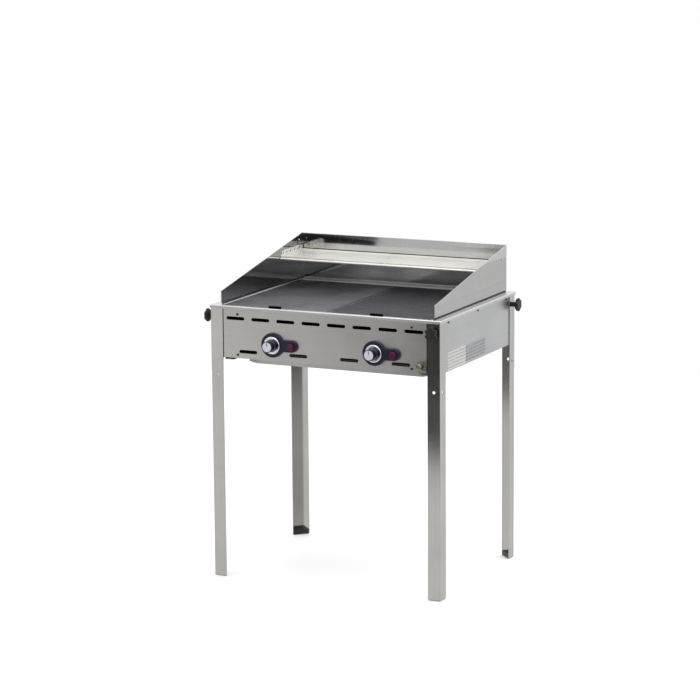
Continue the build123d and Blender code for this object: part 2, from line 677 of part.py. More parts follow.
manifold = rod("x", (MANIFOLD_Y, MANIFOLD_Z), MANIFOLD_LEFT, INLET_X, MANIFOLD_R)
manifold += Pos(INLET_X, MANIFOLD_Y, MANIFOLD_Z) * Sphere(MANIFOLD_R)
nut_front = PANEL_FACE - INLET_NUT_THICK
manifold += rod("y", (INLET_X, MANIFOLD_Z), nut_front, MANIFOLD_Y, INLET_PIPE_R)
keep("gas_manifold", manifold)

hexagon = RegularPolygon(INLET_NUT_R, 6)
nut = Pos(INLET_X, PANEL_FACE, MANIFOLD_Z) * Rot(90, 0, 0) * extrude(hexagon, INLET_NUT_THICK)
keep("inlet_locknut", nut - rod("y", (INLET_X, MANIFOLD_Z), nut_front - 1, PANEL_FACE + 1, INLET_PIPE_R))

elbow_front = PANEL_FACE - ELBOW_REACH
tail_y = elbow_front + ELBOW_R
elbow = rod("y", (INLET_X, MANIFOLD_Z), elbow_front + 2, nut_front, ELBOW_R)
elbow += rod("y", (INLET_X, MANIFOLD_Z), elbow_front, elbow_front + 2, ELBOW_R - 2, ELBOW_R)
collar_low = MANIFOLD_Z - ELBOW_R - TAIL_COLLAR_LEN / 2
elbow += rod("z", (INLET_X, tail_y), collar_low, MANIFOLD_Z, TAIL_COLLAR_R)
elbow += rod("z", (INLET_X, tail_y), collar_low - TAIL_LEN, collar_low, TAIL_R)
keep("inlet_elbow", elbow)


# ---------------------------------------------------------------- knobs, bezels, igniters
def bezel(x):
    """A round bezel with an extension to the right that frames the igniter button."""
    back, front = PANEL_FACE, PANEL_FACE - BEZEL_THICK
    button_x = x + BUTTON_OFFSET
    shape = rod("y", (x, KNOB_Z), front, back, BEZEL_R)
    shape += rod("y", (button_x, KNOB_Z), front, back, EXTENSION_R)
    arm = (KNOB_Z - EXTENSION_R, KNOB_Z + EXTENSION_R)
    shape += box((x, button_x), (front, back), arm)
    rim_edges = shape.faces().sort_by(Axis.Y)[0].outer_wire().edges()
    shape = fillet(rim_edges, BEZEL_ROUND)
    shape -= rod("y", (x, KNOB_Z), front - 1, back + 1, BEZEL_BORE)
    shape -= rod("y", (button_x, KNOB_Z), front - 1, back + 1, BUTTON_R + BUTTON_CLEAR)
    return shape


def knob(x):
    """The turned barrel of a control knob, socketed for the stem."""
    back = PANEL_FACE - KNOB_LIFT
    front = PANEL_FACE - KNOB_REACH
    barrel = rod("y", (x, KNOB_Z), front, back, BARREL_TIP_R, BARREL_R)
    barrel = fillet(barrel.edges().filter_by(GeomType.CIRCLE).sort_by(Axis.Y)[0], BARREL_ROUND)
    barrel += rod("y", (x, KNOB_Z), back - KNOB_FLANGE[1], back, KNOB_FLANGE[0])
    return barrel - rod("y", (x, KNOB_Z), back - STEM_SOCKET, back + 1, STEM_R)


def knob_ring(x):
    """The bright ring round the foot of the knob."""
    back = PANEL_FACE - KNOB_LIFT
    ring = rod("y", (x, KNOB_Z), back - RING_THICK, back, RING_R)
    ring = fillet(ring.edges().filter_by(GeomType.CIRCLE).sort_by(Axis.Y)[0], RING_THICK * 0.6)
    return ring - rod("y", (x, KNOB_Z), back - RING_THICK - 1, back + 1, KNOB_FLANGE[0])


def button(x):
    """An igniter button: a domed head and a shank that slides in the igniter."""
    at = (x + BUTTON_OFFSET, KNOB_Z)
    front = PANEL_FACE - BUTTON_REACH
    back = PANEL_FACE - BUTTON_LIFT
    head = rod("y", at, front, back, BUTTON_R)
    head = fillet(head.edges().filter_by(GeomType.CIRCLE).sort_by(Axis.Y)[0], 3)
    return head + rod("y", at, back, back + BUTTON_SHANK_LEN, BUTTON_SHANK_R)


def igniter(x):
    """The spark generator behind the panel, bored for the button's shank."""
    at = (x + BUTTON_OFFSET, KNOB_Z)
    body = rod("y", at, PANEL_BACK, PANEL_BACK + IGNITER_LEN, IGNITER_R)
    deep = PANEL_FACE - BUTTON_LIFT + BUTTON_SHANK_LEN + BUTTON_TRAVEL + LOOSE
    return body - rod("y", at, PANEL_BACK - 1, deep, BUTTON_SHANK_R + FIT)


for side, sign in SIDES.items():
    x = sign * BURNER_X
    keep("bezel_" + side, bezel(x))
    keep("control_knob_" + side, knob(x))
    keep("knob_ring_" + side, knob_ring(x))
    keep("igniter_button_" + side, button(x))
keep("igniter_bodies", *[igniter(sign * BURNER_X) for sign in SIDES.values()])


# ---------------------------------------------------------------- drip tray
def tray_outline(shrink):
    """Half of the tray's section, from the middle outwards, for the outside or the inside."""
    top = TRAY_LIP_Z + TRAY_WALL
    low = top - TRAY_DEPTH + shrink
    wall = TRAY_HALF_X - shrink
    flat = TRAY_HALF_X - TRAY_BEVEL[0] - shrink * 0.3
    return wall, flat, low, low + TRAY_BEVEL[1]


def tray_solid(shrink, top):
    """The tray's outer or inner form: a box with bevelled bottom edges."""
    wall, flat, low, bevel = tray_outline(shrink)
    points = [(-wall, top), (-wall, bevel), (-flat, low), (flat, low), (wall, bevel), (wall, top)]
    span = (TRAY_FRONT + shrink, TRAY_REAR - shrink)
    return prism(Plane.XZ.offset(-span[1]), points, span[1] - span[0])


def drip_tray():
    """The pressed tray with lips that hang in the runners."""
    top = TRAY_LIP_Z + TRAY_WALL
    tray = tray_solid(0, top)
    lip_x = (-TRAY_HALF_X - TRAY_LIP, TRAY_HALF_X + TRAY_LIP)
    tray += box(lip_x, (TRAY_FRONT, TRAY_REAR), (TRAY_LIP_Z, top))
    return tray - tray_solid(TRAY_WALL, top + 5)


def runner_left():
    """The channel that the tray's left lip slides in."""
    span = (RUNNER_FRONT, RUNNER_REAR)
    low = RUNNER_TOP - RUNNER_HEIGHT
    channel = box((-RUNNER_X[1], -RUNNER_X[0]), span, (low, RUNNER_TOP))
    inside = box((-RUNNER_X[1] + SHEET, -RUNNER_X[0] + 1), (span[0] - 1, span[1] + 1),
                 (low + SHEET, RUNNER_TOP - SHEET))
    return channel - inside


keep("drip_tray", drip_tray())
runner = runner_left()
keep("tray_runners", runner, mirrored(runner))


# ---------------------------------------------------------------- wind guard
def guard_edge(y):
    """Height of the side panel's sloping edge above the rim at a place along Y."""
    share = (y - GUARD_FRONT) / (GUARD_REAR - GUARD_FRONT)
    return RIM_HEIGHT + GUARD_LOW + share * (GUARD_HIGH - GUARD_LOW)


def guard_side_left():
    """The sloping side sheet with its hem, and the recessed foot it stands on."""
    foot_top = RIM_HEIGHT + GUARD_LIFT
    front, back = GUARD_FRONT, GUARD_REAR
    outline = [(front, foot_top), (back, foot_top), (back, guard_edge(back)), (front, guard_edge(front))]
    outer = Plane.YZ.offset(-GUARD_X)
    sheet = prism(outer, outline, GUARD_STEEL)
    slope = math.atan2(GUARD_HIGH - GUARD_LOW, back - front)
    drop = HEM / math.cos(slope)
    inner_front = front + HEM
    hem = [(front, foot_top), (inner_front, foot_top), (inner_front, guard_edge(inner_front) - drop)]
    hem += [(back, guard_edge(back) - drop), (back, guard_edge(back)), (front, guard_edge(front))]
    sheet += prism(Plane.YZ.offset(-GUARD_X - HEM_STEEL), hem, HEM_STEEL)
    inset = -GUARD_X + GUARD_FOOT_INSET
    step = box((-GUARD_X, inset + GUARD_STEEL), (front, back), (foot_top, foot_top + GUARD_STEEL))
    sheet += step - box((inset, 0), (back - BACK_RETURN - GAP, back + 1), (foot_top - 1, foot_top + 2 * GUARD_STEEL))
    sheet += box((inset - GUARD_STEEL, inset), (front, back), (RIM_HEIGHT, foot_top + GUARD_STEEL))
    return sheet


def guard_back():
    """The back sheet with a folded top lip and a return along each side panel."""
    x = (-GUARD_IN_X, GUARD_IN_X)
    bottom = RIM_HEIGHT
    top = RIM_HEIGHT + GUARD_HIGH
    low_return = RIM_HEIGHT + GUARD_LIFT + GUARD_STEEL
    inset = GUARD_X - GUARD_FOOT_INSET
    sheet = box(x, (GUARD_REAR - GUARD_STEEL, GUARD_REAR), (low_return, top))
    sheet += box((-inset, inset), (GUARD_REAR - GUARD_STEEL, GUARD_REAR), (bottom, low_return))
    sheet += box(x, (GUARD_REAR - LIP_DEPTH, GUARD_REAR), (top - GUARD_STEEL, top))
    lip = (GUARD_REAR - LIP_DEPTH, GUARD_REAR - LIP_DEPTH + GUARD_STEEL)
    sheet += box(x, lip, (top - LIP_DROP, top))
    reach = (GUARD_REAR - BACK_RETURN, GUARD_REAR)
    for sign in (-1, 1):
        wall = sorted((sign * GUARD_IN_X, sign * (GUARD_IN_X - GUARD_STEEL)))
        slope_top = guard_edge(GUARD_REAR - BACK_RETURN) - GUARD_STEEL
        sheet += box(wall, reach, (low_return, slope_top))
        near = SHELF_X * sign
        tab_y = (SHELF_REAR - GAP - SHELF_STOP[1], SHELF_REAR - GAP)
        tab = (SHELF_STOP_Z, SHELF_STOP_Z + SHELF_STOP[2])
        sheet += box(sorted((near, near - sign * SHELF_STOP[0])), tab_y, tab)
    return sheet


def rivet_places():
    """Y and Z of the rivets that join the back's returns to the side panels."""
    return [(RIVET_Y, RIM_HEIGHT + rise) for rise in RIVET_RISES]


def shelf_screw_place():
    """Y and Z of the shelf's screw."""
    return (SHELF_SCREW[0], SHELF_Z + SHELF_SCREW[1])


def warming_shelf():
    """The shelf: a sheet with a stepped, rolled front edge, a back upstand and pierced upturned ends."""
    under = SHELF_Z - GUARD_STEEL
    roll_z = SHELF_Z - SHELF_STEP - SHELF_ROLL_R
    wall_y = SHELF_FRONT + SHELF_ROLL_R - GUARD_STEEL
    sheet = box((-SHELF_X, SHELF_X), (wall_y, SHELF_REAR), (under, SHELF_Z))
    sheet += box((-SHELF_X, SHELF_X), (SHELF_REAR - GUARD_STEEL, SHELF_REAR), (under, SHELF_Z + SHELF_BACK))
    sheet += box((-SHELF_X, SHELF_X), (wall_y, wall_y + GUARD_STEEL), (roll_z, SHELF_Z))
    sheet += rod("x", (SHELF_FRONT, roll_z), -SHELF_X, SHELF_X, SHELF_ROLL_R)
    top = SHELF_Z + SHELF_FLANGE
    outline = [(wall_y, under), (SHELF_REAR, under), (SHELF_REAR, top)]
    outline += [(wall_y + SHELF_FLANGE_CUT, top), (wall_y, SHELF_Z)]
    end = prism(Plane.YZ.offset(-SHELF_X), outline, GUARD_STEEL)
    low, high = -SHELF_X - 1, -SHELF_X + 2
    for step in range(SHELF_HOLES):
        y = SHELF_FRONT + SHELF_HOLE_PITCH * (step + 0.7)
        end -= rod("x", (y, SHELF_Z + SHELF_FLANGE / 2), low, high, SHELF_HOLE_R)
    end -= rod("x", shelf_screw_place(), low, high, SHELF_SCREW_R + FIT)
    return sheet + end + mirrored(end)


side = guard_side_left()
back = guard_back()
for sign in (-1, 1):
    low, high = sorted((sign * (GUARD_X + 5), sign * (SHELF_X - 1)))
    for at in rivet_places():
        hole = rod("x", at, low, high, RIVET_R + FIT)
        side -= hole
        back -= hole
    hole = rod("x", shelf_screw_place(), low, high, SHELF_SCREW_R + LOOSE / 2)
    side -= hole
    back -= hole
keep("guard_left_panel", side)
keep("guard_right_panel", mirrored(side))
keep("guard_back_panel", back)
keep("warming_shelf", warming_shelf())

fasteners = []
for at in rivet_places():
    face = -GUARD_IN_X + GUARD_STEEL
    rivet = rod("x", at, -GUARD_X, face, RIVET_R)
    rivet += rod("x", at, face, face + RIVET_HEAD_H, RIVET_HEAD_R, RIVET_HEAD_R * 0.6)
    fasteners.append(rivet)
head_r, head_h = SHELF_SCREW_HEAD
inner = -SHELF_X + GUARD_STEEL
at = shelf_screw_place()
fasteners.append(screw("x", at, -GUARD_X, 1, head_r, head_h, SHELF_SCREW_R, GUARD_X + inner + SHELF_NUT[1]))
nut_ring = rod("x", at, inner, inner + SHELF_NUT[1], SHELF_NUT[0])
fasteners[-1] += nut_ring
keep("guard_fasteners", *fasteners, *[mirrored(piece) for piece in fasteners])

# ---------------------------------------------------------------- write the pieces
os.makedirs("parts", exist_ok=True)
for name, shape in parts.items():
    export_step(shape, "parts/" + name + ".step")
print(len(parts), "nodes")
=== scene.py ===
# %% [markdown]
# # A gas grill, from frame to finish
#
# The grill's steelwork comes from CAD and is loaded as a fixed frame. This lesson gives each
# sheet, casting and knob its finish, models the small pieces whose shape matters up close, and
# lights the whole thing in a plain studio. The lengths are in metres, +Z is up, and the cook
# stands on the -Y side.

import math

import bpy
from mathutils import Matrix, Vector


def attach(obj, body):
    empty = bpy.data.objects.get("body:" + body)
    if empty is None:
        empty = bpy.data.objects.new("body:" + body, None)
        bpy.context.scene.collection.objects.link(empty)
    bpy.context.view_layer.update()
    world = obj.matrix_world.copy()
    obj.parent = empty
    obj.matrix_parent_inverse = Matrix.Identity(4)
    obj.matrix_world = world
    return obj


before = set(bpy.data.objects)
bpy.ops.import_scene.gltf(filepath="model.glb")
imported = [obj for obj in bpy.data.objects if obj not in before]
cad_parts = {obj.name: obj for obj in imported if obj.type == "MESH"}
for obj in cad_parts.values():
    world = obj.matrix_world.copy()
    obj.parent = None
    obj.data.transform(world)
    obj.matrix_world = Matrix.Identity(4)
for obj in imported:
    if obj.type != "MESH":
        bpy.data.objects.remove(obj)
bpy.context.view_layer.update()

# %% [markdown]
# ## The camera
#
# The grill is shown from the front right, a little above the hob, by a long lens far away, so
# that upright edges stay almost parallel. A camera looks along its own -Z, so its matrix can be
# written from three directions: right, up and back. That is exact, and it takes a slight roll
# that a tracking constraint would not.

# %% Camera
FRAME_SHIFT = 0.00775          # the frame's middle from front to back, from the legs' middle
AIM = Vector((-0.0487, FRAME_SHIFT, 0.6628))
DISTANCE = 8.3894
SENSOR_WIDTH, FOCAL_LENGTH = 36, 143.56
AZIMUTH = math.radians(25.507)
ELEVATION = math.radians(10.601)
ROLL = math.radians(-0.444)

back = Vector((math.sin(AZIMUTH) * math.cos(ELEVATION),
               -math.cos(AZIMUTH) * math.cos(ELEVATION),
               math.sin(ELEVATION)))
level_right = Vector((math.cos(AZIMUTH), math.sin(AZIMUTH), 0))
level_up = back.cross(level_right)
right = level_right * math.cos(ROLL) + level_up * math.sin(ROLL)
up = level_up * math.cos(ROLL) - level_right * math.sin(ROLL)
lens_data = bpy.data.cameras.new("studio_camera")
camera = bpy.data.objects.new("studio_camera", lens_data)
bpy.context.scene.collection.objects.link(camera)
place = AIM + back * DISTANCE
camera.matrix_world = Matrix((
    (right.x, up.x, back.x, place.x),
    (right.y, up.y, back.y, place.y),
    (right.z, up.z, back.z, place.z),
    (0, 0, 0, 1),
))
lens_data.sensor_width = SENSOR_WIDTH
lens_data.lens = FOCAL_LENGTH
lens_data.clip_end = 100
bpy.context.scene.camera = camera
print("camera at", [round(v, 2) for v in place])

# %% [markdown]
# ## Wires: shader maths that reads like maths
#
# A finish is a small graph of nodes. Written node by node it is long and hard to read, so one
# small class holds an output socket and lets +, - and * add the Math nodes. Every other node
# comes from one function, add, which takes the node's kind, its settings and its inputs. A wire
# can also make a soft step between two values, and can mix two colours.

# %% Wires
MIX_A, MIX_B, MIX_OUT = 6, 7, 2     # the colour sockets of a Mix node
OBJECT_PLACE = 3                    # the Object output of a Texture Coordinate node


def add(tree, kind, settings=None, inputs=None, out=0):
    """Adds a node to a tree and returns the wire that leaves it."""
    node = tree.nodes.new("ShaderNode" + kind)
    for key, value in (settings or {}).items():
        setattr(node, key, value)
    for key, value in (inputs or {}).items():
        if isinstance(value, Wire):
            tree.links.new(value.socket, node.inputs[key])
        else:
            node.inputs[key].default_value = value
    return Wire(tree, node.outputs[out])


class Wire:
    """An output socket that can be used in sums."""

    def __init__(self, tree, socket):
        self.tree = tree
        self.socket = socket

    def sum(self, operation, a, b):
        return add(self.tree, "Math", {"operation": operation}, {0: a, 1: b})

    def __add__(self, other):
        return self.sum("ADD", self, other)

    def __radd__(self, other):
        return self.sum("ADD", other, self)

    def __sub__(self, other):
        return self.sum("SUBTRACT", self, other)

    def __rsub__(self, other):
        return self.sum("SUBTRACT", other, self)

    def __mul__(self, other):
        return self.sum("MULTIPLY", self, other)

    def __rmul__(self, other):
        return self.sum("MULTIPLY", other, self)

    def step(self, low, high):
        """0 below low, 1 above high, and smooth between."""
        return add(self.tree, "MapRange", {"interpolation_type": "SMOOTHSTEP"},
                   {"Value": self, "From Min": low, "From Max": high})

    def blend(self, a, b):
        """Colour a where the wire is 0, colour b where it is 1."""
        a, b = (end if isinstance(end, Wire) else (*end, 1) for end in (a, b))
        return add(self.tree, "Mix", {"data_type": "RGBA"}, {MIX_A: a, MIX_B: b, 0: self}, out=MIX_OUT)


print("a wire can be added, subtracted, multiplied, stepped and blended")

# %% [markdown]
# ## Places and patterns
#
# Every pattern is laid out by a point's place on the piece, in metres, and the pieces keep the
# grill's own directions. So brushing can follow one axis, and a mask can pick the part of a sheet
# that lies below a height or beyond a distance. Noise is the only pattern needed: pulled long it
# is brushing, fine it is a cast or moulded skin, and coarse it is smears.

# %% Places and patterns
def place_of(tree):
    """The wire of a point's place on the piece, in metres."""
    return add(tree, "TexCoord", out=OBJECT_PLACE)


def stretched(tree, scale):
    """Places multiplied by a different number along each axis."""
    return add(tree, "VectorMath", {"operation": "MULTIPLY"}, {0: place_of(tree), 1: scale})


def cloud(tree, scale, detail=2.0, rough=0.5):
    """Soft noise between 0 and 1, scale lumps to the metre along each axis."""
    if not isinstance(scale, tuple):
        scale = (scale, scale, scale)
    return add(tree, "TexNoise", {"noise_dimensions": "3D"},
               {"Vector": stretched(tree, scale), "Scale": 1.0,
                "Detail": detail, "Roughness": rough})


def along(tree, axis):
    """The wire of a point's place along one axis, in metres: 0 for X, 1 for Y, 2 for Z."""
    return add(tree, "SeparateXYZ", None, {0: place_of(tree)}, out=axis)


def sideways(tree):
    """The wire of a point's distance from the middle plane, in metres."""
    return add(tree, "Math", {"operation": "ABSOLUTE"}, {0: along(tree, 0)})


print("patterns: cloud and stretched; masks: along and sideways")

# %% [markdown]
# ## Making and applying a finish
#
# A finish has one surface shader. Its varying inputs are wires and its constants are numbers set
# straight on the sockets. It goes on a CAD piece through the piece's own material slots, so the
# piece itself is never touched.

# %% Finishes
def new_finish(name, colour, rough, metal=0.0, height=None, bump=0.1, depth=0.0002, **constants):
    """A material with one surface shader. constants are set straight on its sockets."""
    material = bpy.data.materials[name]
    tree = material.node_tree
    shader = next(n for n in tree.nodes if n.type == "BSDF_PRINCIPLED")
    wires = {"Base Color": colour, "Roughness": rough, "Metallic": metal}
    for key, value in wires.items():
        if isinstance(value, Wire):
            tree.links.new(value.socket, shader.inputs[key])
        else:
            shader.inputs[key].default_value = (*value, 1) if key == "Base Color" else value
    if height is not None:
        normal = add(tree, "Bump", None, {"Strength": bump, "Distance": depth, "Height": height})
        tree.links.new(normal.socket, shader.inputs["Normal"])
    for key, value in constants.items():
        shader.inputs[key.replace("_", " ").title().replace("Ior", "IOR")].default_value = value
    return material


def blank(name):
    """An empty material, and the tree that its finish is written in."""
    material = bpy.data.materials.new(name)
    material.use_nodes = True
    return material.node_tree


def paint(material, *nodes):
    """Puts a finish on CAD nodes by their material slots."""
    for name in nodes:
        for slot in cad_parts[name].material_slots:
            slot.material = material


print(len(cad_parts), "CAD pieces to paint")

# %% [markdown]
# ## Brushed and polished sheet
#
# Most of the grill is stainless sheet. Brushing leaves thousands of fine scratches along one
# direction, and handling leaves faint cloudy smears. Noise that is stretched along one axis
# gives the scratches; it changes the roughness a lot, the colour a little and the height
# hardly at all. Low noise gives the smears. One function makes every sheet finish, because only
# the tone, the gloss and the direction differ.

# %% Sheet steel
GRAIN = {"x": (3, 900, 900), "y": (900, 3, 900), "z": (900, 900, 3)}
LONG = 6                # how much longer and wider the coarse scratches are than the fine ones
SCRATCH_SHADE = 0.82    # tone at the bottom of a scratch


def sheet_steel(name, tone, rough, brushed, smear=0.06, scratch=0.10, bump=0.06,
                darker_mask=None, darker_tone=(0.02, 0.02, 0.02), metal=1.0):
    """A stainless sheet brushed along one axis. darker_mask wires where its tone becomes darker_tone;
    on the guard, the control panel and the shelf that is painted shade.
    """
    tree = blank(name)
    grain = cloud(tree, GRAIN[brushed], detail=3.0, rough=0.6)
    long_grain = cloud(tree, tuple(v / LONG for v in GRAIN[brushed]), detail=2.0)
    smears = cloud(tree, 5.0, detail=4.0, rough=0.6).step(0.35, 0.7)
    streaks = grain * 0.6 + long_grain * 0.4
    shade = streaks.step(0.3, 0.7) * 0.5 + smears * 0.5
    colour = shade.blend(tuple(v * SCRATCH_SHADE for v in tone), tone)
    gloss = (streaks - 0.5) * scratch + (smears - 0.5) * smear + rough
    # darker_mask carries painted shade on the guard's foot, the control panel's ends and the shelf's
    # seam, and the rim skirt's darker tone.
    if darker_mask:
        darkening = darker_mask(tree)
        colour = darkening.blend(colour, darker_tone)
        gloss = gloss + darkening * 0.3
    if callable(metal):
        metal = metal(tree)
    return new_finish(name, colour, gloss, metal=metal, height=streaks, bump=bump, depth=0.0001)


print("brushing runs along", ", ".join(GRAIN))

# %% [markdown]
# ## Where light and shade are painted on a sheet
#
# Some light and shade on the steel is painted. The groove that the wind guard stands in gets painted
# shade, and so do the control panel's cut ends and the shelf's seam with the guard. The rim beside
# the plates, the guard's inner foot and the right top end of the guard's back are made less metallic,
# so they take the tent's light as painted light. The rim's skirt is darker and rougher than its top.
# Each of these could be a painted mask, but a pair of distances is enough, because every one of them
# follows a straight edge. The first number of a pair is where the change starts and the second is
# where it is complete.

# %% Painted light and shade
GUARD_FOOT_TOP = (0.8282, 0.8286)       # height of the step where the guard's side turns out
GUARD_FOOT_OUTSIDE = (0.3399, 0.3404)   # distance from the middle plane
GUARD_FOOT_INSIDE = (0.3395, 0.3398)
GUARD_TOP_END = (0.12, 0.28)            # right end of the guard's back
GUARD_TOP_EDGE = (0.926, 0.936)
RIM_INSIDE = (0.3412, 0.3420)           # outer edge of the rim's strips that carry painted light
RIM_FRONT = (-0.262, -0.260)            # back edge of the rim's front strip
RIM_SKIRT_TOP = (0.8212, 0.8226)
PANEL_END = (0.3268, 0.3276)
SEAM_DEPTH = (0.2740 + FRAME_SHIFT, 0.2748 + FRAME_SHIFT)
SEAM_HEIGHT = (0.9168, 0.9176)


def guard_foot_shade(tree):
    """Painted shade on the outer face of the recessed foot that the guard stands on."""
    return sideways(tree).step(*GUARD_FOOT_OUTSIDE) * (1 - along(tree, 2).step(*GUARD_FOOT_TOP))


def guard_painted_light_metal(tree):
    """Metal, less so on the guard's foot's inner face and its back's right top end: painted light, as
    these take the tent's diffuse light.
    """
    foot = (1 - sideways(tree).step(*GUARD_FOOT_INSIDE)) * (1 - along(tree, 2).step(*GUARD_FOOT_TOP))
    top_end = along(tree, 0).step(*GUARD_TOP_END) * along(tree, 2).step(*GUARD_TOP_EDGE)
    return (1 - foot) * (1 - top_end * 0.75)


def rim_painted_light_metal(tree):
    """Metal, less so on the strips of the rim inside the guard: painted bright lines, as these take
    the tent's diffuse light.
    """
    inside = (1 - sideways(tree).step(*RIM_INSIDE)) * along(tree, 1).step(*RIM_FRONT)
    return 1 - inside * 0.85


def panel_end_shade(tree):
    """Painted shade on the cut ends of the control panel, beside the legs."""
    return sideways(tree).step(*PANEL_END)


def skirt(tree):
    """The rim's skirt, made darker in tone and rougher than its top."""
    return 1 - along(tree, 2).step(*RIM_SKIRT_TOP)


def shelf_seam_shade(tree):
    """Painted shade on the top of the shelf's back upstand, where it meets the guard's back."""
    return along(tree, 1).step(*SEAM_DEPTH) * along(tree, 2).step(*SEAM_HEIGHT)


print("masks: guard_foot_shade, guard_painted_light_metal, rim_painted_light_metal, panel_end_shade, skirt, shelf_seam_shade")

# %% [markdown]
# ## The sheet pieces
#
# The fire box is brushed from front to back, the front, the rim and the shelf from side to side,
# and the legs along their length. The guard and the legs are nearly mirrors. The sheets inside
# the fire box are coloured black as painted shade, so the vent slots look empty.

# %% Sheet pieces
casing = sheet_steel("casing_sheet", (0.60, 0.605, 0.61), 0.34, "y")
# The control panel's cut ends get painted shade.
front_sheet = sheet_steel("front_sheet", (0.66, 0.645, 0.62), 0.34, "x", darker_mask=panel_end_shade)
# The rim's strips inside the guard get painted light: they turn partly diffuse and show as bright
# lines.
rim_sheet = sheet_steel("rim_sheet", (0.84, 0.84, 0.85), 0.22, "x",
                        darker_mask=skirt, darker_tone=(0.62, 0.61, 0.59), metal=rim_painted_light_metal)
leg_sheet = sheet_steel("leg_sheet", (0.60, 0.59, 0.57), 0.15, "z",
                        smear=0.03, scratch=0.05, bump=0.015)
# The guard's foot gets painted shade outside and painted light inside, and its back's right top end
# painted light.
guard_sheet = sheet_steel("guard_sheet", (0.55, 0.555, 0.545), 0.07, "y",
                          smear=0.03, scratch=0.04, bump=0.015,
                          darker_mask=guard_foot_shade, metal=guard_painted_light_metal)
# The shelf's seam with the guard's back gets painted shade.
shelf_sheet = sheet_steel("shelf_sheet", (0.95, 0.93, 0.88), 0.30, "x", darker_mask=shelf_seam_shade, metal=0.6)
tray_sheet = sheet_steel("tray_sheet", (0.62, 0.61, 0.59), 0.34, "y")
# Painted shade: the sheets inside the fire box, the manifold included, are coloured black.
inner_shade_sheet = sheet_steel("inner_painted_shade_sheet", (0.010, 0.010, 0.010), 0.5, "x")
fastener_steel = sheet_steel("fastener_steel", (0.85, 0.85, 0.85), 0.28, "z")

paint(casing, "left_side_panel", "right_side_panel", "rear_panel")
paint(front_sheet, "control_panel")
paint(rim_sheet, "rim_front", "rim_rear", "rim_left", "rim_right")
paint(leg_sheet, "leg_front_left", "leg_front_right", "leg_rear_left", "leg_rear_right")
paint(guard_sheet, "guard_left_panel", "guard_right_panel", "guard_back_panel")
paint(shelf_sheet, "warming_shelf")
paint(tray_sheet, "drip_tray", "tray_runners")
paint(inner_shade_sheet, "front_rails", "control_baffle", "burner_rails", "centre_bar", "gas_manifold")
paint(fastener_steel, "guard_fasteners", "leg_weld_nuts",
      "star_stud_front_left", "star_stud_front_right", "star_stud_rear_left", "star_stud_rear_right",
      "valve_stem_left", "valve_stem_right", "valve_plunger_left", "valve_plunger_right",
      "thermocouples")
print("sheet finishes:", [m.name for m in bpy.data.materials if m.name.endswith("_sheet")])

# %% [markdown]
# ## Seasoned cast plates
#
# The cooking plates are dark iron with a thin film of burnt-on oil. Cast iron is rough and
# pebbled, the film is smoother in patches, and years of scraping leave paler marks. The metal
# is mostly dark, so the shine has to come from the film: a low roughness where the oil sits.
# The grooves of the ribbed plate are coloured near black as painted shade, and the lug at each
# plate's front edge is coloured near black too.
# Both plates share one finish: it knows a groove, a lug and the ribbed side by a point's place.

# %% Plates
RIBBED_SIDE = (0.012, 0.014)        # the ribbed plate is the one on the right
LUG_HEIGHT = (0.8232, 0.8240)       # just above the plates' top
GROOVE_HEIGHT = (0.8218, 0.8224)    # just below the plates' top

tree = blank("seasoned_iron")
pebble = cloud(tree, 900.0, detail=3.0)
patches = cloud(tree, 7.0, detail=5.0, rough=0.6).step(0.38, 0.68)
scrapes = cloud(tree, (90, 6, 30), detail=4.0, rough=0.7).step(0.55, 0.8)
colour = patches.blend((0.060, 0.060, 0.072), (0.115, 0.115, 0.132))
colour = (scrapes * 0.5).blend(colour, (0.16, 0.16, 0.175))
ribbed = along(tree, 0).step(*RIBBED_SIDE)
colour = (ribbed * 0.5).blend(colour, (0.14, 0.14, 0.16))
lug = along(tree, 2).step(*LUG_HEIGHT)
# Painted shade: everything of the plates below their top, the grooves included, is near black; the lug
# above the top is near black too.
black_lug_and_groove_shade = lug + (1 - along(tree, 2).step(*GROOVE_HEIGHT))
colour = black_lug_and_groove_shade.blend(colour, (0.003, 0.003, 0.003))
gloss = 0.50 - patches * 0.14 - scrapes * 0.06 + lug * 0.2
iron = new_finish("seasoned_iron", colour, gloss, metal=0.55 + black_lug_and_groove_shade * 0.45,
                  height=pebble + patches * 0.6, bump=0.25, depth=0.0002)
paint(iron, "smooth_plate", "ribbed_plate")
print(iron.name, "has", len(tree.nodes), "nodes")

# %% [markdown]
# ## Burners, brass and chrome
#
# Burner tubes are plated steel that turns straw and blue where the flames play. The gas
# fittings are brass that has dulled with handling. The rings behind the control knobs are
# chromed, so they stay nearly clean: only a faint haze roughens them.

# %% Metal fittings
tree = blank("heated_steel")
heat = cloud(tree, 9.0, detail=4.0).step(0.35, 0.7)
tint = heat.blend((0.42, 0.36, 0.27), (0.26, 0.28, 0.34))
burner_steel = new_finish("heated_steel", tint, 0.36 + heat * 0.2, metal=1.0,
                          height=cloud(tree, 700.0), bump=0.1)
paint(burner_steel, "burner_left", "burner_right")

tree = blank("dull_brass")
tarnish = cloud(tree, 130.0, detail=5.0, rough=0.6).step(0.35, 0.7)
brass = new_finish("dull_brass", tarnish.blend((0.16, 0.135, 0.085), (0.50, 0.46, 0.36)),
                   0.42 - tarnish * 0.14, metal=1.0, height=cloud(tree, 1500.0), bump=0.08)
paint(brass, "gas_valve_left", "gas_valve_right", "injectors", "inlet_elbow", "inlet_locknut")

tree = blank("knob_chrome")
haze = cloud(tree, 90.0, detail=4.0).step(0.4, 0.7)
chrome = new_finish("knob_chrome", haze.blend((0.74, 0.75, 0.79), (0.80, 0.81, 0.84)),
                    0.06 + haze * 0.06, metal=1.0, height=cloud(tree, 300.0), bump=0.01)
paint(chrome, "knob_ring_left", "knob_ring_right")
print("metals:", burner_steel.name, brass.name, chrome.name)

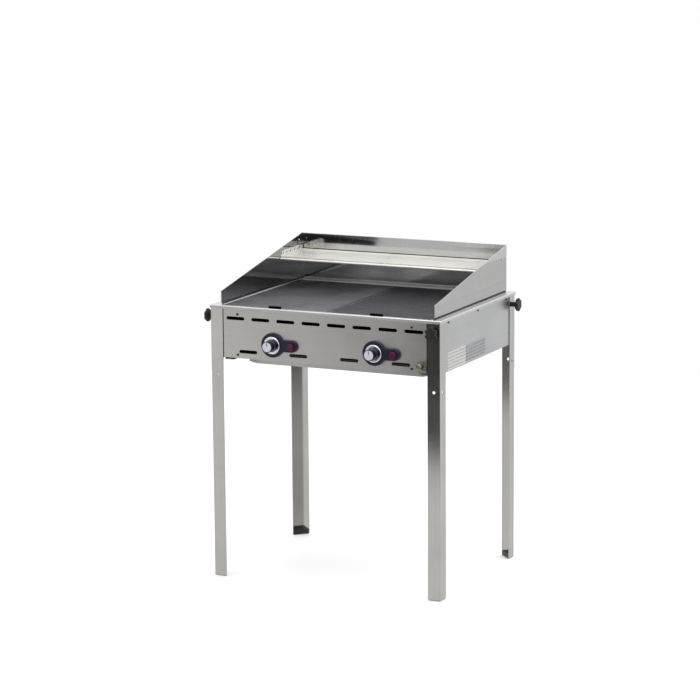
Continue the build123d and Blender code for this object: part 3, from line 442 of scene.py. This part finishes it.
# %% [markdown]
# ## Plastics, ceramic and blackened screws
#
# A moulded part has a nearly even tone. What makes it look real is its skin: a faint pebble on the
# feet and the star knobs, and a deep gloss on the bezels and the buttons. Glazed ceramic and
# blackened screw heads differ only in tone and gloss, so one function makes all of them.

# %% Plastics
def plastic(name, tone, rough, grain, bump, spread=0.5, **constants):
    """A moulded plastic: a nearly even tone, a pebbled skin and rubbed patches."""
    tree = blank(name)
    rubbed = cloud(tree, 60.0, detail=4.0).step(0.3, 0.75)
    skin = cloud(tree, grain, detail=2.0)
    colour = rubbed.blend(tone, tuple(min(1, v * (1 + spread) + 0.001) for v in tone))
    return new_finish(name, colour, rough + (rubbed - 0.5) * 0.08, height=skin, bump=bump,
                      depth=0.0002, **constants)


black_plastic = plastic("black_plastic", (0.001, 0.001, 0.001), 0.13, 1800.0, 0.05,
                        spread=0.2, specular_ior_level=0.30)
bezel_gloss = plastic("bezel_gloss", (0.008, 0.010, 0.026), 0.20, 500.0, 0.02,
                      specular_ior_level=0.18)
button_gloss = plastic("button_gloss", (0.075, 0.003, 0.025), 0.24, 700.0, 0.03,
                       specular_ior_level=0.30)
knob_dark = plastic("knob_dark", (0.010, 0.012, 0.024), 0.22, 900.0, 0.05,
                    specular_ior_level=0.30)
ceramic = plastic("glazed_ceramic", (0.78, 0.76, 0.70), 0.22, 400.0, 0.03, spread=0.1)
paint(black_plastic, "leg_feet", "igniter_bodies", "star_knob_front_left", "star_knob_front_right",
      "star_knob_rear_left", "star_knob_rear_right")
paint(bezel_gloss, "bezel_left", "bezel_right")
paint(button_gloss, "igniter_button_left", "igniter_button_right")
paint(knob_dark, "control_knob_left", "control_knob_right")
paint(ceramic, "spark_electrodes")
black_screws = plastic("blackened_screws", (0.010, 0.010, 0.011), 0.36, 900.0, 0.05)
paint(black_screws, "panel_screws", "side_screws")
print("moulded:", black_plastic.name, bezel_gloss.name, button_gloss.name, knob_dark.name)

# %% [markdown]
# ## Knob caps
#
# Each control knob carries a pale printed cap with a pointer, so the cook can see how far it is
# turned. The cap is a thin disc that starts as a cylinder, and the pointer is a thin bar that
# starts as a cube. The two are joined, and one bevel rounds the edges of both. The pointer could
# be a painted mask, but a raised bar catches the light as moulded marks do. A cap turns with its
# knob, so it rides on the knob's body.

# %% Knob caps
KNOB_X, KNOB_Z = 0.164, 0.7175
KNOB_FRONT = min(v.co.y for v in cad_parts["control_knob_left"].data.vertices)
CAP_RADIUS, CAP_THICK, CAP_ROUND = 0.0142, 0.0007, 0.0002
POINTER_SIZE = (0.0018, 0.0006, 0.0105)
POINTER_RISE, POINTER_PROUD = 0.0075, 0.0001    # above the knob's axis; proud of the cap's face

cap_print = plastic("cap_print", (0.60, 0.59, 0.68), 0.30, 900.0, 0.02,
                    spread=0.08, coat_weight=0.3)
pointer_print = plastic("pointer_print", (0.02, 0.02, 0.03), 0.35, 900.0, 0.02)


def knob_cap(side, x):
    """The disc and the pointer of one cap, as one object."""
    bpy.ops.object.select_all(action="DESELECT")
    bpy.ops.mesh.primitive_cylinder_add(vertices=64, radius=CAP_RADIUS, depth=CAP_THICK,
                                        location=(x, KNOB_FRONT - CAP_THICK / 2, KNOB_Z),
                                        rotation=(math.pi / 2, 0, 0))
    cap = bpy.context.object
    cap.name = "knob_cap_" + side
    cap.data.materials.append(cap_print)
    cap.data.materials.append(pointer_print)
    bar_place = (x, KNOB_FRONT - CAP_THICK - POINTER_PROUD, KNOB_Z + POINTER_RISE)
    bpy.ops.mesh.primitive_cube_add(size=1, location=bar_place)
    bar = bpy.context.object
    bar.scale = POINTER_SIZE
    bar.data.materials.append(cap_print)
    bar.data.materials.append(pointer_print)
    for face in bar.data.polygons:
        face.material_index = 1
    cap.select_set(True)
    bpy.context.view_layer.objects.active = cap
    bpy.ops.object.join()
    bpy.ops.object.transform_apply(location=True, rotation=True, scale=True)
    bevel = cap.modifiers.new("round", "BEVEL")
    bevel.width, bevel.segments, bevel.limit_method = CAP_ROUND, 2, "ANGLE"
    bpy.ops.object.modifier_apply(modifier="round")
    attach(cap, "control_" + side)
    return cap


for side, x in (("left", -KNOB_X), ("right", KNOB_X)):
    cap = knob_cap(side, x)
    print(cap.name, len(cap.data.polygons), "faces")

# %% [markdown]
# ## Rating labels
#
# The right side of the fire box carries two thin labels side by side. They are flat films, so a
# plain rectangle a fraction of a millimetre off the sheet is enough, and it needs no thickness of
# its own. Rows of grey bars stand for small print; they say nothing. A sine of the height makes
# the rows and noise breaks them up.

# %% Labels
SIDE_FACE = 0.368       # outer face of the right side panel
FILM_LIFT = 0.00015
ROW_PITCH = 660.0       # radians of the rows' sine to a metre


def label_print(name, paper, ink):
    """Film with rows of broken bars across it."""
    tree = blank(name)
    rows = add(tree, "Math", {"operation": "SINE"}, {0: along(tree, 2) * ROW_PITCH}).step(0.0, 0.4)
    words = cloud(tree, (1, 200, 90), detail=1.0).step(0.36, 0.46)
    return new_finish(name, (rows * words).blend(paper, ink), 0.45, height=words, bump=0.01)


def label(name, y_span, z_span, print_on):
    """One label on the right side panel."""
    bpy.ops.object.select_all(action="DESELECT")
    middle = (SIDE_FACE + FILM_LIFT, sum(y_span) / 2 + FRAME_SHIFT, sum(z_span) / 2)
    bpy.ops.mesh.primitive_plane_add(size=1, location=middle,
                                     rotation=(math.pi / 2, 0, math.pi / 2))
    film = bpy.context.object
    film.name = name
    film.scale = (y_span[1] - y_span[0], z_span[1] - z_span[0], 1)
    bpy.ops.object.transform_apply(location=True, rotation=True, scale=True)
    film.data.materials.append(print_on)
    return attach(film, "chassis")


front_label = label("label_front", (-0.225, -0.092), (0.669, 0.729),
                    label_print("label_pale", (0.58, 0.58, 0.57), (0.36, 0.36, 0.36)))
rear_label = label("label_rear", (-0.090, 0.054), (0.676, 0.7235),
                   label_print("label_grey", (0.33, 0.34, 0.36), (0.20, 0.20, 0.21)))
print(front_label.name, rear_label.name)

# %% [markdown]
# ## The white tent
#
# Polished steel looks like what it faces, so the grill stands in a white tent that is a little
# brighter overhead than below. The camera itself sees plain white behind the grill.

# %% Tent
world = bpy.data.worlds.new("studio")
bpy.context.scene.world = world
world.use_nodes = True
tree = world.node_tree
tree.nodes.clear()
height = add(tree, "SeparateXYZ", None, {0: add(tree, "TexCoord", out=0)}, out=2)
glow = 0.80 + height.step(-0.1, 0.5) * 0.25
seen = add(tree, "LightPath", out=0)
strength = seen + (1 - seen) * glow
sky = add(tree, "Background", None, {"Color": (1, 1, 1, 1), "Strength": strength})
tree.links.new(sky.socket, tree.nodes.new("ShaderNodeOutputWorld").inputs[0])
bpy.context.scene.view_settings.view_transform = "Standard"
print("tent:", world.name)

# %% [markdown]
# ## Dark boards
#
# A tent alone would make the steel flat, so a few dark boards give it something to show. Only
# reflections see them. One stands far in front, and front faces on the right pick it up while
# those on the left stay light. One lies on the floor below it and makes the right front leg fade
# from dark to light. A small one darkens the left part of the lip along the guard's back.

# %% Dark boards
tree = blank("flag_cloth")
flag_cloth = new_finish("flag_cloth", cloud(tree, 40.0).blend((0.010, 0.010, 0.012),
                                                              (0.020, 0.020, 0.024)), 0.9)
UPRIGHT, FLAT = (math.pi / 2, 0, 0), (0, 0, 0)


def board(name, middle, size, turn):
    """A dark board that only reflections see: its middle, its width and height, its turn."""
    bpy.ops.mesh.primitive_plane_add(size=1, location=middle, rotation=turn)
    dark = bpy.context.object
    dark.name = name
    dark.scale = (*size, 1)
    bpy.ops.object.transform_apply(location=True, rotation=True, scale=True)
    dark.data.materials.append(flag_cloth)
    dark.visible_camera = dark.visible_diffuse = dark.visible_shadow = False


board("front_flag", (0.54, -3.0, 0.75), (3.32, 1.5), UPRIGHT)
board("lip_flag", (-0.8685, -1.05, 0.842), (0.343, 0.216), UPRIGHT)
board("floor_flag", (0.6, -2.5, 0.003), (3.2, 1.1), FLAT)
print("boards: front_flag, lip_flag, floor_flag")

# %% [markdown]
# ## Floor and lamps
#
# The floor is a large disc that glows faintly, so it reads as white and keeps only a soft shadow
# under the grill. Reflections pass through it, or it would grey the lower ends of the legs. One
# wide lamp overhead makes that shadow and a weaker one lights the right side.

# %% Floor and lamps
FLOOR_RADIUS = 3.2
bpy.ops.mesh.primitive_circle_add(vertices=96, radius=FLOOR_RADIUS, fill_type="NGON",
                                  location=(0, 0, 0))
floor = bpy.context.object
floor.name = "studio_floor"
tree = blank("floor_white")
pale = cloud(tree, 2.0).blend((0.90, 0.90, 0.90), (0.92, 0.92, 0.92))
floor_white = new_finish("floor_white", pale, 0.6,
                         emission_color=(1, 1, 1, 1), emission_strength=0.16)
floor.data.materials.append(floor_white)
floor.visible_glossy = floor.visible_diffuse = False


LAMP_AIM = Vector((0, 0, 0.6))


def soft_panel(name, at, size, watts):
    """A rectangular soft light aimed at the fire box."""
    data = bpy.data.lights.new(name, "AREA")
    data.shape = "RECTANGLE"
    data.size, data.size_y = size
    data.energy = watts
    lamp = bpy.data.objects.new(name, data)
    bpy.context.scene.collection.objects.link(lamp)
    lamp.location = at
    lamp.rotation_euler = (LAMP_AIM - Vector(at)).to_track_quat("-Z", "Y").to_euler()
    print(name, watts, "W")


soft_panel("overhead_panel", (0.3, 0.2, 3.4), (3.2, 2.6), 45)
soft_panel("right_panel", (3.2, 0.8, 1.7), (2.0, 2.4), 16)
